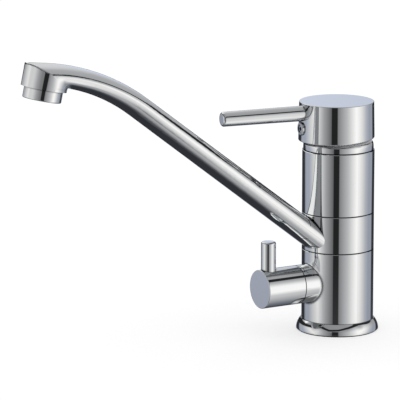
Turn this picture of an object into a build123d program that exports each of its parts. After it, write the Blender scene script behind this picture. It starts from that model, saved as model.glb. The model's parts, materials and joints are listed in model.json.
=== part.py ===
"""Single-lever kitchen mixer tap with a side valve for an appliance.

Millimetres. The origin is the centre of the base on the deck, +Z is up, and the spout and the
appliance valve point along -Y. The lever is turned a little from the spout, towards -X.
"""

import os
from math import cos, radians, sin, sqrt, tan

from build123d import *

# Column
COLUMN_D = 48.0
LOWER_TOP = 55.1
COLLAR_H = 25.4
UPPER_H = 41.6
EDGE_CHAMFER = 0.2

# Base flange and gasket
FLANGE_D = 54.8
FLANGE_H = 7.9
FLANGE_LIP = 0.5
FLANGE_BULGE = 0.55
FLANGE_EDGE_H = 1.6
FLANGE_CHAMFER = 0.8
FLANGE_BASE_W = 7.85
FOOT_Z = 4.0
GASKET_W = 2.4
GASKET_T = 1.4

# Neck that the spout collar turns on
NECK_D = 33.0
SPIGOT_D = 29.6
SPIGOT_H = 11.4
O_RING_T = 2.0
O_RING_INSET = 4.2
JOINT_RING_T = 1.6
JOINT_RING_Z = 2.4
SLIP_RING_T = 0.5
SLIP_RING_INSET = 0.8

# Water ports
PORT_RING_D = 16.4
PORT_SPREAD = 45.0
WATERWAY_D = 5.0
PORT_D = 7.0
PORT_DEPTH = 12.0
STUD_D = 6.8
STUD_DEPTH = 14.0
DECK_HOLE_D = 35.0
TAIL_GAP = 1.0

# Spout collar and arm
COLLAR_CHAMBER_D = 40.0
COLLAR_CHAMBER_H = 11.0
COLLAR_PORT_D = 11.0
SPOUT_REACH = 219.0
SPOUT_PITCH = 37.0
SPOUT_END_PITCH = 7.0
SPOUT_BEND_R = 138.5
SPOUT_ROOT_W = 28.4
SPOUT_ROOT_T = 16.0
SPOUT_END_W = 29.4
SPOUT_END_T = 14.2
SPOUT_WALL = 2.0

# Outlet head and aerator
HEAD_D = 29.5
HEAD_TILT = 12.3
HEAD_DROP = 9.0
HEAD_BLEND_R = 1.8
HEAD_BLEND_INSET = 1.0
OUTLET_BORE_D = 19.0
AERATOR_THREAD_D = 23.0
AERATOR_THREAD_H = 3.3
AERATOR_D = 25.0
AERATOR_H = 7.4
AERATOR_WALL = 1.4
AERATOR_LIP_H = 1.5
AERATOR_LIP_W = 1.0
AERATOR_ROUND = 0.75
WASHER_T = 1.3
JET_PITCH = 2.6
JET_D = 1.9
JET_RINGS = 3

# Mixing cartridge
CARTRIDGE_D = 39.9
CARTRIDGE_WALL = 2.7
CARTRIDGE_STEP = 1.95
CARTRIDGE_COLLAR_WALL = 1.7
PORT_PLATE_T = 4.6
PORT_SEAL_W = 1.5
PORT_SEAL_T = 1.4
FIXED_DISC_D = 33.0
FIXED_DISC_T = 3.6
MOVING_DISC_D = 24.0
MOVING_DISC_T = 3.2
MIX_POCKET_D = 10.8
MIX_POCKET_T = 1.6
CARRIER_D = 23.2
CARRIER_T = 5.5
ROTOR_D = 28.4
ROTOR_FLANGE_D = 33.4
ROTOR_FLANGE_T = 3.0
SHOULDER_T = 1.6
NUT_GRIP_H = 5.0
NUT_THREAD_D = 41.2
NUT_HEX = 36.0
NUT_HEX_H = 4.4
BALL_D = 4.4
BALL_SINK = 1.9
FINGER_D = 3.4
SPINDLE_W = 8.0
SPINDLE_HUB_D = 11.0
SPINDLE_HUB_W = 9.0
TILT_PIN_D = 4.0

# Dome ring and lever cap
DOME_R = 23.4
DOME_H = 7.5
DOME_TOP_T = 2.5
DOME_ROUND = 4.5
DOME_SEAM_H = 0.5
DOME_SEAM_W = 1.0
DOME_OPENING_D = 34.0
PIVOT_RISE = 1.0
LEVER_TURN = 8.6
LIFT_ANGLE = 18.0
CAP_TOP_D = 49.6
CAP_RIM_D = 50.6
CAP_OFFSET = 1.5
CAP_RISE = 6.3
CAP_H = 26.1
CAP_SLANT = 2.5
CAP_WALL = 1.3
CAP_ROOF_T = 3.0
CAP_ROUND = 0.5
CAP_BOSS_D = 15.0
CAP_BLOCK_W = 13.0
SPINDLE_SOCKET_H = 15.5

# Lever, its plug and its set screw
LEVER_DROP = 6.8
LEVER_ROOT_D = 10.3
LEVER_END_D = 9.8
LEVER_L = 58.4
LEVER_ROUND = 1.6
LEVER_SEAT = 0.85
LEVER_STUB_D = 6.0
LEVER_STUB_L = 11.0
PLUG_DROP = 17.1
PLUG_D = 8.8
PLUG_PROUD = 1.2
PLUG_SEAT = 0.6
PLUG_ROUND = 0.6
PLUG_STEM_D = 6.2
PLUG_STEM_L = 2.4
PLUG_DISH_D = 5.8
PLUG_DISH_H = 0.5
PLUG_SOCKET = 2.5
PLUG_SOCKET_H = 2.0
GRUB_D = 5.0
GRUB_L = 10.0
GRUB_SOCKET = 2.5
GRUB_SOCKET_H = 3.0

# Appliance valve
VALVE_Z = 33.6
KNOB_D = 25.7
BOSS_L = 8.1
KNOB_L = 28.3
KNOB_WALL = 2.0
KNOB_END_T = 12.0
KNOB_ROUND = 0.4
KNOB_GAP = 0.3
VALVE_BORE_D = 17.0
VALVE_FLOOR = 12.0
VALVE_SEAL_T = 1.2
VALVE_SEAL_W = 2.6
VALVE_DISC_D = 13.0
VALVE_DISC_T = 2.5
VALVE_HEX = 17.0
VALVE_HEX_T = 5.0
VALVE_NECK_D = 13.0
VALVE_NECK_L = 8.0
VALVE_PORT_RING_D = 6.8
VALVE_PORT_D = 4.2
VALVE_RELIEF = 0.9
VALVE_BLADE_W = 4.6
VALVE_BLADE_L = 3.4
VALVE_STEM_D = 8.0
VALVE_SPLINE_D = 6.8
VALVE_SPLINE_L = 8.5
VALVE_WINDOW_D = 3.2
VALVE_PIN_D = 9.9
VALVE_PIN_INSET = 6.6
VALVE_PIN_H = 18.8
VALVE_PIN_SEAT = 1.2
VALVE_PIN_ROUND = 1.4
VALVE_STUB_D = 5.0
VALVE_STUB_L = 6.0
KNOB_SCREW_D = 4.0
KNOB_SCREW_L = 6.0
KNOB_SCREW_SOCKET = 2.0
KNOB_SCREW_SOCKET_H = 2.0

# Clearances
RUN_GAP = 0.06
SEAT_GAP = 0.05
DISC_GAP = 0.05
BALL_GAP = 0.18
FLOAT_GAP = 0.3

# Heights of the column
column_r = COLUMN_D / 2
collar_top = LOWER_TOP + COLLAR_H
upper_top = collar_top + UPPER_H
collar_mid = LOWER_TOP + COLLAR_H / 2
neck_r = NECK_D / 2
neck_bore_r = neck_r + RUN_GAP
spigot_r = SPIGOT_D / 2
seat_z = collar_top + SPIGOT_H

# Heights of the cartridge stack
pivot_z = upper_top + PIVOT_RISE
plate_top = seat_z + PORT_PLATE_T
fixed_top = plate_top + FIXED_DISC_T
moving_z = fixed_top + DISC_GAP
carrier_z = moving_z + MOVING_DISC_T
carrier_top = carrier_z + CARRIER_T
rotor_z = carrier_top + FLOAT_GAP
rotor_flange_top = rotor_z + ROTOR_FLANGE_T
cavity_top = rotor_flange_top + FLOAT_GAP
ledge_z = cavity_top + SHOULDER_T
grip_z = ledge_z + NUT_GRIP_H
nut_top = upper_top + NUT_HEX_H
rotor_top = pivot_z + TILT_PIN_D
housing_top = pivot_z + TILT_PIN_D / 2
cap_rim = upper_top + CAP_RISE
cap_top = cap_rim + CAP_H
lever_z = cap_top - LEVER_DROP
plug_z = cap_top - PLUG_DROP
ball_z = carrier_top - BALL_SINK
cartridge_r = CARTRIDGE_D / 2
cavity_r = cartridge_r - CARTRIDGE_WALL
grip_r = cartridge_r - CARTRIDGE_STEP
rotor_r = ROTOR_D / 2
rotor_bore_r = rotor_r + FLOAT_GAP
cartridge_collar_r = rotor_bore_r + CARTRIDGE_COLLAR_WALL
nut_thread_r = NUT_THREAD_D / 2

# Water ports in plan: cold on +X, hot on -X, both on the lever's side, and mixed water in the middle
port_x = PORT_RING_D / 2 * sin(radians(PORT_SPREAD))
port_y = -PORT_RING_D / 2 * cos(radians(PORT_SPREAD))
inlet_places = [(port_x, port_y), (-port_x, port_y)]
port_places = [*inlet_places, (0, 0)]
waterway_r = WATERWAY_D / 2
port_r = PORT_D / 2

# The tail to the appliance and the fixing stud pass down through the hole in the deck
appliance_y = DECK_HOLE_D / 2 - TAIL_GAP - port_r
stud_y = DECK_HOLE_D / 2 - TAIL_GAP - STUD_D / 2

# Places along the appliance valve's axis
boss_face = column_r + BOSS_L
knob_start = boss_face + KNOB_GAP
knob_end = knob_start + KNOB_L
knob_floor = knob_end - KNOB_END_T
valve_bore_r = VALVE_BORE_D / 2

# Planes of the lever, which is turned from the spout
lever_dir = Vector(-sin(radians(LEVER_TURN)), -cos(radians(LEVER_TURN)), 0)
tilt_dir = Vector(0, 0, 1).cross(lever_dir)
lever_side = Plane((0, 0, 0), x_dir=lever_dir, z_dir=-tilt_dir)


def lever_level(z):
    """Level plane at a height, with its x along the lever."""
    return Plane((0, 0, z), x_dir=lever_dir, z_dir=(0, 0, 1))


def lever_face(reach, z):
    """Upright plane across the lever, facing out along it."""
    return Plane(lever_dir * reach + Vector(0, 0, z), x_dir=tilt_dir, z_dir=lever_dir)


def valve_face(reach):
    """Upright plane across the valve's axis, facing out along it."""
    return Plane((0, -reach, VALVE_Z), x_dir=(1, 0, 0), z_dir=(0, -1, 0))


def rod(plane, radius, length, mode=Mode.ADD):
    """Round bar that stands on a plane."""
    with Locations(plane):
        Cylinder(radius, length, align=(Align.CENTER, Align.CENTER, Align.MIN), mode=mode)


def ring(plane, outer_r, inner_r, height):
    """Plain ring that stands on a plane."""
    with BuildSketch(plane) as flat:
        Circle(outer_r)
        Circle(inner_r, mode=Mode.SUBTRACT)
    extrude(flat.sketch, amount=height)


def hexagon_socket(plane, across_flats, depth):
    """Hexagon key socket sunk behind a plane."""
    with BuildSketch(plane) as flat:
        RegularPolygon(across_flats / 2, 6, major_radius=False)
    extrude(flat.sketch, amount=-depth, mode=Mode.SUBTRACT)


def o_ring(z, middle_r, section):
    """Round-section ring about the column's axis."""
    with Locations((0, 0, z)):
        Torus(middle_r, section / 2)


os.makedirs("parts", exist_ok=True)

# Base flange: a convex flared skirt with a ledge for the foot of the column
flange_r = FLANGE_D / 2
foot_bore_r = flange_r - FLANGE_BASE_W
foot_r = foot_bore_r - SEAT_GAP
lip_r = column_r + FLANGE_LIP
with BuildPart() as base_flange:
    with BuildSketch(Plane.XZ):
        with BuildLine():
            skirt_top = (lip_r, FLANGE_H)
            skirt_foot = (flange_r, FLANGE_EDGE_H)
            Polyline((foot_bore_r, 0), (foot_bore_r, FOOT_Z), (column_r + SEAT_GAP, FOOT_Z))
            Polyline((column_r + SEAT_GAP, FOOT_Z), (column_r + SEAT_GAP, FLANGE_H), skirt_top)
            SagittaArc(skirt_top, skirt_foot, FLANGE_BULGE)
            Polyline(
                skirt_foot,
                (flange_r, FLANGE_CHAMFER),
                (flange_r - FLANGE_CHAMFER, 0),
                (foot_bore_r, 0),
            )
        make_face()
    revolve(axis=Axis.Z)
    gasket_r = (foot_bore_r + flange_r) / 2
    with BuildSketch(Plane.XY):
        Circle(gasket_r + GASKET_W / 2 + SEAT_GAP)
        Circle(gasket_r - GASKET_W / 2 - SEAT_GAP, mode=Mode.SUBTRACT)
    extrude(amount=GASKET_T, mode=Mode.SUBTRACT)
base_flange.part.label = "base_flange"
export_step(base_flange.part, "parts/base_flange.step")

with BuildPart() as base_gasket:
    ring(Plane.XY, gasket_r + GASKET_W / 2, gasket_r - GASKET_W / 2, GASKET_T)
base_gasket.part.label = "base_gasket"
export_step(base_gasket.part, "parts/base_gasket.step")

# Lower body: turned column and neck, with the valve's boss and the waterways
o_ring_outer = neck_r + RUN_GAP / 2
o_ring_groove_r = o_ring_outer - O_RING_T - SEAT_GAP / 2
o_ring_heights = [LOWER_TOP + O_RING_INSET, collar_top - O_RING_INSET]
joint_ring_outer = spigot_r + SEAT_GAP / 2
joint_groove_r = joint_ring_outer - JOINT_RING_T - SEAT_GAP / 2
joint_ring_z = collar_top + JOINT_RING_Z
with BuildPart() as lower_body:
    with BuildSketch(Plane.XZ):
        with BuildLine():
            Polyline(
                (0, 0),
                (foot_r, 0),
                (foot_r, FOOT_Z),
                (column_r, FOOT_Z),
                (column_r, LOWER_TOP - EDGE_CHAMFER),
                (column_r - EDGE_CHAMFER, LOWER_TOP),
                (neck_r, LOWER_TOP),
                (neck_r, collar_top),
                (spigot_r, collar_top),
                (spigot_r, seat_z),
                (0, seat_z),
                close=True,
            )
        make_face()
    revolve(axis=Axis.Z)
    with BuildSketch(Plane.XZ):
        for z in o_ring_heights:
            with Locations(((o_ring_groove_r + neck_r) / 2, z)):
                Rectangle(neck_r - o_ring_groove_r, O_RING_T + 2 * FLOAT_GAP)
        with Locations(((joint_groove_r + spigot_r) / 2, joint_ring_z)):
            Rectangle(spigot_r - joint_groove_r, JOINT_RING_T + 2 * FLOAT_GAP)
    revolve(axis=Axis.Z, mode=Mode.SUBTRACT)
    rod(valve_face(0), KNOB_D / 2, boss_face)
    rod(valve_face(VALVE_FLOOR), valve_bore_r + SEAT_GAP, boss_face, Mode.SUBTRACT)
    # Threaded ports on the underside, and the waterways up to the cartridge
    for x, y in inlet_places:
        rod(Plane((x, y, 0)), port_r, PORT_DEPTH, Mode.SUBTRACT)
        rod(Plane((x, y, 0)), waterway_r, seat_z, Mode.SUBTRACT)
    rod(Plane((0, -appliance_y, 0)), port_r, PORT_DEPTH, Mode.SUBTRACT)
    rod(Plane((0, -appliance_y, 0)), waterway_r, VALVE_Z, Mode.SUBTRACT)
    rod(Plane((0, stud_y, 0)), STUD_D / 2, STUD_DEPTH, Mode.SUBTRACT)
    # Mixed water goes down the middle and out into the collar
    with Locations((0, 0, seat_z)):
        Hole(waterway_r, seat_z - collar_mid + waterway_r)
    rod(Plane((0, 0, collar_mid), z_dir=(0, -1, 0)), waterway_r, neck_r, Mode.SUBTRACT)
    # Cold feed from the inlet to the floor of the valve
    rod(valve_face(-port_y), waterway_r, VALVE_FLOOR + port_y, Mode.SUBTRACT)
    rod(Plane((0, port_y, VALVE_Z), z_dir=(1, 0, 0)), waterway_r, port_x, Mode.SUBTRACT)
lower_body.part.label = "lower_body"
export_step(lower_body.part, "parts/lower_body.step")

# Seals and bearing rings of the turning collar
with BuildPart() as swivel_o_rings:
    for z in o_ring_heights:
        o_ring(z, o_ring_outer - O_RING_T / 2, O_RING_T)
swivel_o_rings.part.label = "swivel_o_rings"
export_step(swivel_o_rings.part, "parts/swivel_o_rings.step")

with BuildPart() as swivel_slip_rings:
    slip_r = column_r - SLIP_RING_INSET
    ring(Plane.XY.offset(LOWER_TOP), slip_r, neck_bore_r, SLIP_RING_T)
    ring(Plane.XY.offset(collar_top - SLIP_RING_T), slip_r, neck_bore_r, SLIP_RING_T)
swivel_slip_rings.part.label = "swivel_slip_rings"
export_step(swivel_slip_rings.part, "parts/swivel_slip_rings.step")

with BuildPart() as body_joint_seal:
    o_ring(joint_ring_z, joint_ring_outer - JOINT_RING_T / 2, JOINT_RING_T)
body_joint_seal.part.label = "body_joint_seal"
export_step(body_joint_seal.part, "parts/body_joint_seal.step")

# Upper body: sleeve screwed on the neck, with the cartridge chamber and the nut's thread
with BuildPart() as upper_body:
    with BuildSketch(Plane.XZ):
        with BuildLine():
            sleeve_r = spigot_r + SEAT_GAP
            chamber_r = cartridge_r + SEAT_GAP
            thread_r = nut_thread_r + SEAT_GAP
            chamber_z = seat_z - FLOAT_GAP
            Polyline(
                (sleeve_r, collar_top),
                (column_r - EDGE_CHAMFER, collar_top),
                (column_r, collar_top + EDGE_CHAMFER),
                (column_r, upper_top - EDGE_CHAMFER),
                (column_r - EDGE_CHAMFER, upper_top),
                (thread_r, upper_top),
                (thread_r, ledge_z),
                (chamber_r, ledge_z),
                (chamber_r, chamber_z),
                (sleeve_r, chamber_z),
                close=True,
            )
        make_face()
    revolve(axis=Axis.Z)
upper_body.part.label = "upper_body"
export_step(upper_body.part, "parts/upper_body.step")

# Spout collar: turning ring with the water chamber round the neck and the port to the arm
pitch = radians(SPOUT_PITCH)
end_pitch = radians(SPOUT_END_PITCH)
arm_dir = (0, -cos(pitch), sin(pitch))
collar_low = LOWER_TOP + SLIP_RING_T + DISC_GAP
collar_high = collar_top - SLIP_RING_T - DISC_GAP
with BuildPart() as spout_collar:
    with BuildSketch(Plane.XZ):
        with BuildLine():
            Polyline(
                (neck_bore_r, collar_low),
                (column_r - EDGE_CHAMFER, collar_low),
                (column_r, collar_low + EDGE_CHAMFER),
                (column_r, collar_high - EDGE_CHAMFER),
                (column_r - EDGE_CHAMFER, collar_high),
                (neck_bore_r, collar_high),
                close=True,
            )
        make_face()
        with Locations(((neck_bore_r + COLLAR_CHAMBER_D / 2) / 2, collar_mid)):
            Rectangle(COLLAR_CHAMBER_D / 2 - neck_bore_r, COLLAR_CHAMBER_H, mode=Mode.SUBTRACT)
    revolve(axis=Axis.Z)
    port_plane = Plane((0, -column_r, collar_mid), x_dir=(1, 0, 0), z_dir=arm_dir)
    port_depth = (column_r - neck_bore_r) / cos(pitch)
    with Locations(port_plane.offset(COLLAR_PORT_D)):
        Hole(COLLAR_PORT_D / 2, COLLAR_PORT_D + port_depth)
spout_collar.part.label = "spout_collar"
export_step(spout_collar.part, "parts/spout_collar.step")

# Route of the spout arm in the YZ plane: a straight climb, one long bend, a short run through the head
bend_start_r = SPOUT_REACH - SPOUT_BEND_R * (sin(pitch) - sin(end_pitch))
bend_start_z = collar_mid + (bend_start_r - column_r) * tan(pitch)
head_z = bend_start_z + SPOUT_BEND_R * (cos(end_pitch) - cos(pitch))
root_r = sqrt(column_r**2 - (SPOUT_ROOT_W / 2) ** 2) - SPOUT_ROOT_T / 2 * sin(pitch)
root_z = collar_mid - (column_r - root_r) * tan(pitch)
tip_r = SPOUT_REACH + HEAD_D
tip_z = head_z + (tip_r - SPOUT_REACH) * tan(end_pitch)
hollow_end_r = SPOUT_REACH + SPOUT_WALL
hollow_end_z = head_z + (hollow_end_r - SPOUT_REACH) * tan(end_pitch)
tilt = radians(HEAD_TILT)
head_r = HEAD_D / 2
head_plane = Plane((0, -SPOUT_REACH, head_z), x_dir=(1, 0, 0), z_dir=(0, sin(tilt), cos(tilt)))


def arm_section(reach, z, slope, width, thickness):
    """Oval section of the arm, square to its route."""
    across = Plane((0, -reach, z), x_dir=(1, 0, 0), z_dir=(0, -cos(slope), sin(slope)))
    with BuildSketch(across) as section:
        Ellipse(thickness / 2, width / 2, rotation=90)
    return section.sketch.face()


def arm_route(end_r, end_z):
    """Centre line of the arm from the collar to an end inside or past the head."""
    with BuildLine() as route:
        climb = Line((0, -root_r, root_z), (0, -bend_start_r, bend_start_z))
        bend = TangentArc(climb @ 1, (0, -SPOUT_REACH, head_z), tangent=climb % 1)
        Line(bend @ 1, (0, -end_r, end_z))
    return route.wire()


def arm_sections(end_r, end_z, wall):
    """First and last section of the arm, or of its hollow, which lies a wall inside."""
    return [
        arm_section(root_r, root_z, pitch, SPOUT_ROOT_W - 2 * wall, SPOUT_ROOT_T - 2 * wall),
        arm_section(end_r, end_z, end_pitch, SPOUT_END_W - 2 * wall, SPOUT_END_T - 2 * wall),
    ]


def arm_with_head():
    """Outside of the arm, rounded in plan by the outlet head, and the head under its end."""
    sweep(arm_sections(tip_r, tip_z, 0), path=arm_route(tip_r, tip_z), multisection=True)
    with BuildSketch(head_plane) as outline:
        Circle(head_r)
        with Locations((0, SPOUT_REACH)):
            Rectangle(2 * HEAD_D, 2 * SPOUT_REACH)
    extrude(outline.sketch, amount=SPOUT_REACH, both=True, mode=Mode.INTERSECT)
    rod(head_plane.offset(-HEAD_DROP), head_r, HEAD_DROP)


# Fillet behind the head, made on a slice of the arm because it dies out towards the flush sides
head_back = HEAD_DROP * cos(tilt) + head_r * (sin(tilt) - sin(end_pitch)) - SPOUT_END_T / 2
with BuildPart() as head_blend:
    arm_with_head()
    with BuildSketch(Plane.XY):
        with Locations((0, -SPOUT_REACH)):
            Rectangle(HEAD_D - 2 * HEAD_BLEND_INSET, 2 * HEAD_D)
    extrude(amount=head_z, mode=Mode.INTERSECT)
    curved = head_blend.edges().filter_by(GeomType.BSPLINE)
    under_arm = curved.sort_by_distance((0, head_r - SPOUT_REACH, head_z - SPOUT_END_T / 2))[0]
    fillet(under_arm, min(HEAD_BLEND_R, head_back - FLOAT_GAP))

# Spout arm: swept oval, cut to the collar's round, hollow to the outlet
with BuildPart() as spout_arm:
    arm_with_head()
    add(head_blend.part)
    with Locations((0, 0, collar_mid)):
        Cylinder(column_r, 2 * COLLAR_H, mode=Mode.SUBTRACT)
    sweep(
        arm_sections(hollow_end_r, hollow_end_z, SPOUT_WALL),
        path=arm_route(hollow_end_r, hollow_end_z),
        multisection=True,
        mode=Mode.SUBTRACT,
    )
    thread_depth = AERATOR_THREAD_H + WASHER_T
    rod(head_plane.offset(-HEAD_DROP), AERATOR_THREAD_D / 2 + SEAT_GAP, thread_depth, Mode.SUBTRACT)
    rod(head_plane.offset(-HEAD_DROP), OUTLET_BORE_D / 2, HEAD_DROP, Mode.SUBTRACT)
spout_arm.part.label = "spout_arm"
export_step(spout_arm.part, "parts/spout_arm.step")

# Aerator: screwed ring, jet former with a hexagonal field of holes, and the washer above
aerator_bore_r = AERATOR_THREAD_D / 2 - AERATOR_WALL
lip_bore_r = aerator_bore_r - AERATOR_LIP_W
aerator_foot = head_plane.offset(-HEAD_DROP - AERATOR_H)
insert_r = aerator_bore_r - SEAT_GAP
insert_h = AERATOR_H + AERATOR_THREAD_H - AERATOR_LIP_H
with BuildPart() as aerator_housing:
    rod(aerator_foot, AERATOR_D / 2, AERATOR_H)
    fillet(aerator_housing.edges().sort_by(Axis.Z)[0], AERATOR_ROUND)
    rod(head_plane.offset(-HEAD_DROP), AERATOR_THREAD_D / 2, AERATOR_THREAD_H)
    rod(aerator_foot, lip_bore_r, AERATOR_H + AERATOR_THREAD_H, Mode.SUBTRACT)
    rod(aerator_foot.offset(AERATOR_LIP_H), aerator_bore_r, AERATOR_H + AERATOR_THREAD_H, Mode.SUBTRACT)
aerator_housing.part.label = "aerator_housing"
export_step(aerator_housing.part, "parts/aerator_housing.step")

with BuildPart() as aerator_insert:
    with BuildSketch(aerator_foot.offset(AERATOR_LIP_H)):
        Circle(insert_r)
        for row in range(-JET_RINGS, JET_RINGS + 1):
            count = 2 * JET_RINGS + 1 - abs(row)
            row_y = row * JET_PITCH * sqrt(3) / 2
            row_x = [(place - (count - 1) / 2) * JET_PITCH for place in range(count)]
            with Locations(*[(x, row_y) for x in row_x]):
                RegularPolygon(JET_D / 2, 6, rotation=30, mode=Mode.SUBTRACT)
    extrude(amount=insert_h)
aerator_insert.part.label = "aerator_insert"
export_step(aerator_insert.part, "parts/aerator_insert.step")

with BuildPart() as aerator_washer:
    washer_plane = head_plane.offset(AERATOR_THREAD_H - HEAD_DROP)
    ring(washer_plane, AERATOR_THREAD_D / 2, OUTLET_BORE_D / 2, WASHER_T)
aerator_washer.part.label = "aerator_washer"
export_step(aerator_washer.part, "parts/aerator_washer.step")

# Cartridge, from the port plate upwards
port_seal_r = waterway_r + PORT_SEAL_W
with BuildPart() as cartridge_base:
    with BuildSketch(Plane.XY.offset(seat_z)):
        Circle(cartridge_r)
        with Locations(*port_places):
            Circle(waterway_r, mode=Mode.SUBTRACT)
    extrude(amount=PORT_PLATE_T)
    with BuildSketch(Plane.XY.offset(seat_z)):
        with Locations(*port_places):
            Circle(port_seal_r + SEAT_GAP)
    extrude(amount=PORT_SEAL_T, mode=Mode.SUBTRACT)
cartridge_base.part.label = "cartridge_base"
export_step(cartridge_base.part, "parts/cartridge_base.step")

with BuildPart() as cartridge_port_seals:
    with BuildSketch(Plane.XY.offset(seat_z)):
        with Locations(*port_places):
            Circle(port_seal_r)
            Circle(waterway_r, mode=Mode.SUBTRACT)
    extrude(amount=PORT_SEAL_T)
cartridge_port_seals.part.label = "cartridge_port_seals"
export_step(cartridge_port_seals.part, "parts/cartridge_port_seals.step")

with BuildPart() as fixed_disc:
    with BuildSketch(Plane.XY.offset(plate_top)):
        Circle(FIXED_DISC_D / 2)
        with Locations(*port_places):
            Circle(waterway_r, mode=Mode.SUBTRACT)
    extrude(amount=FIXED_DISC_T)
fixed_disc.part.label = "fixed_disc"
export_step(fixed_disc.part, "parts/fixed_disc.step")

with BuildPart() as moving_disc:
    rod(lever_level(moving_z), MOVING_DISC_D / 2, MOVING_DISC_T)
    with BuildSketch(lever_level(moving_z)):
        Circle(MIX_POCKET_D / 2)
    extrude(amount=MIX_POCKET_T, mode=Mode.SUBTRACT)
moving_disc.part.label = "moving_disc"
export_step(moving_disc.part, "parts/moving_disc.step")

with BuildPart() as disc_carrier:
    rod(lever_level(carrier_z), CARRIER_D / 2, CARRIER_T)
    with Locations(lever_level(carrier_top)):
        Hole(BALL_D / 2 + BALL_GAP, BALL_SINK + BALL_D / 2 + BALL_GAP)
disc_carrier.part.label = "disc_carrier"
export_step(disc_carrier.part, "parts/disc_carrier.step")

# Rotor: turret with a slot that the spindle tilts in
lift = radians(LIFT_ANGLE)
finger_swing = (pivot_z - rotor_z) * tan(lift) + FINGER_D / 2 / cos(lift)
slot_l = 2 * (max(finger_swing, SPINDLE_HUB_D / 2) + FLOAT_GAP)
with BuildPart() as cartridge_rotor:
    rod(lever_level(rotor_z), ROTOR_FLANGE_D / 2, ROTOR_FLANGE_T)
    rod(lever_level(rotor_z), rotor_r, rotor_top - rotor_z)
    with BuildSketch(lever_level(rotor_z)):
        Rectangle(slot_l, SPINDLE_HUB_W + 2 * RUN_GAP)
    extrude(amount=rotor_top - rotor_z, mode=Mode.SUBTRACT)
    with Locations(Plane((0, 0, pivot_z), z_dir=tilt_dir)):
        Cylinder(TILT_PIN_D / 2 + SEAT_GAP / 2, ROTOR_FLANGE_D, mode=Mode.SUBTRACT)
cartridge_rotor.part.label = "cartridge_rotor"
export_step(cartridge_rotor.part, "parts/cartridge_rotor.step")

with BuildPart() as tilt_pin:
    with Locations(Plane((0, 0, pivot_z), z_dir=tilt_dir)):
        Cylinder(TILT_PIN_D / 2, ROTOR_D - 2 * FLOAT_GAP)
tilt_pin.part.label = "tilt_pin"
export_step(tilt_pin.part, "parts/tilt_pin.step")

# Housing of the cartridge, and the nut that holds it down
with BuildPart() as cartridge_housing:
    with BuildSketch(Plane.XZ):
        with BuildLine():
            Polyline(
                (cavity_r, plate_top),
                (cartridge_r, plate_top),
                (cartridge_r, ledge_z),
                (grip_r, ledge_z),
                (grip_r, grip_z),
                (cartridge_collar_r, grip_z),
                (cartridge_collar_r, housing_top),
                (rotor_bore_r, housing_top),
                (rotor_bore_r, cavity_top),
                (cavity_r, cavity_top),
                close=True,
            )
        make_face()
    revolve(axis=Axis.Z)
cartridge_housing.part.label = "cartridge_housing"
export_step(cartridge_housing.part, "parts/cartridge_housing.step")

with BuildPart() as cartridge_nut:
    rod(Plane.XY.offset(ledge_z), nut_thread_r, upper_top - ledge_z)
    with BuildSketch(Plane.XY.offset(upper_top)):
        RegularPolygon(NUT_HEX / 2, 6, major_radius=False)
    extrude(amount=NUT_HEX_H)
    rod(Plane.XY.offset(ledge_z), grip_r + SEAT_GAP, NUT_GRIP_H, Mode.SUBTRACT)
    rod(Plane.XY.offset(ledge_z), cartridge_collar_r + SEAT_GAP, nut_top - ledge_z, Mode.SUBTRACT)
cartridge_nut.part.label = "cartridge_nut"
export_step(cartridge_nut.part, "parts/cartridge_nut.step")

# Dome ring: a zone of a ball about the tilt pivot, so that the cap's rim swings round it, with a round
# shoulder above and a narrow seam below
dome_top = upper_top + DOME_H
dome_bore_r = NUT_HEX / 2 / cos(radians(30)) + FLOAT_GAP


def dome_radius(z):
    """Radius of the dome at a height."""
    return sqrt(DOME_R**2 - (z - pivot_z) ** 2)


with BuildPart() as dome_ring:
    with BuildSketch(Plane.XZ):
        with BuildLine():
            dome_foot = upper_top + DOME_SEAM_H
            dome_mid = (dome_foot + dome_top) / 2
            skirt = (dome_radius(dome_foot), dome_foot)
            crown = (dome_radius(dome_top), dome_top)
            ThreePointArc(skirt, (dome_radius(dome_mid), dome_mid), crown)
            Polyline(crown, (DOME_OPENING_D / 2, dome_top), (DOME_OPENING_D / 2, dome_top - DOME_TOP_T))
            Polyline(
                (DOME_OPENING_D / 2, dome_top - DOME_TOP_T),
                (dome_bore_r, dome_top - DOME_TOP_T),
                (dome_bore_r, upper_top),
                (skirt[0] - DOME_SEAM_W, upper_top),
                (skirt[0] - DOME_SEAM_W, dome_foot),
                skirt,
            )
        make_face()
    revolve(axis=Axis.Z)
    fillet(dome_ring.edges().group_by(Axis.Z)[-1].sort_by(SortBy.RADIUS)[-1], DOME_ROUND)
dome_ring.part.label = "dome_ring"
export_step(dome_ring.part, "parts/dome_ring.step")

# Spindle: hub on the pin, square stem up into the cap, finger with a ball down in the carrier
boss_r = CAP_BOSS_D / 2
boss_z = pivot_z + (rotor_top - pivot_z + FLOAT_GAP + boss_r * sin(lift)) / cos(lift)
socket_top = boss_z + SPINDLE_SOCKET_H
stem_top = socket_top - FLOAT_GAP
tilt_plane = Plane((0, 0, pivot_z), z_dir=tilt_dir)
with BuildPart() as cartridge_spindle:
    with Locations(tilt_plane):
        Cylinder(SPINDLE_HUB_D / 2, SPINDLE_HUB_W)
    with BuildSketch(lever_level(pivot_z)):
        Rectangle(SPINDLE_W, SPINDLE_W)
    extrude(amount=stem_top - pivot_z)
    rod(lever_level(ball_z), FINGER_D / 2, pivot_z - ball_z)
    with Locations((0, 0, ball_z)):
        Sphere(BALL_D / 2)
    with Locations(tilt_plane):
        Cylinder(TILT_PIN_D / 2 + RUN_GAP, 2 * SPINDLE_HUB_W, mode=Mode.SUBTRACT)
cartridge_spindle.part.label = "cartridge_spindle"
export_step(cartridge_spindle.part, "parts/cartridge_spindle.step")

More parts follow.
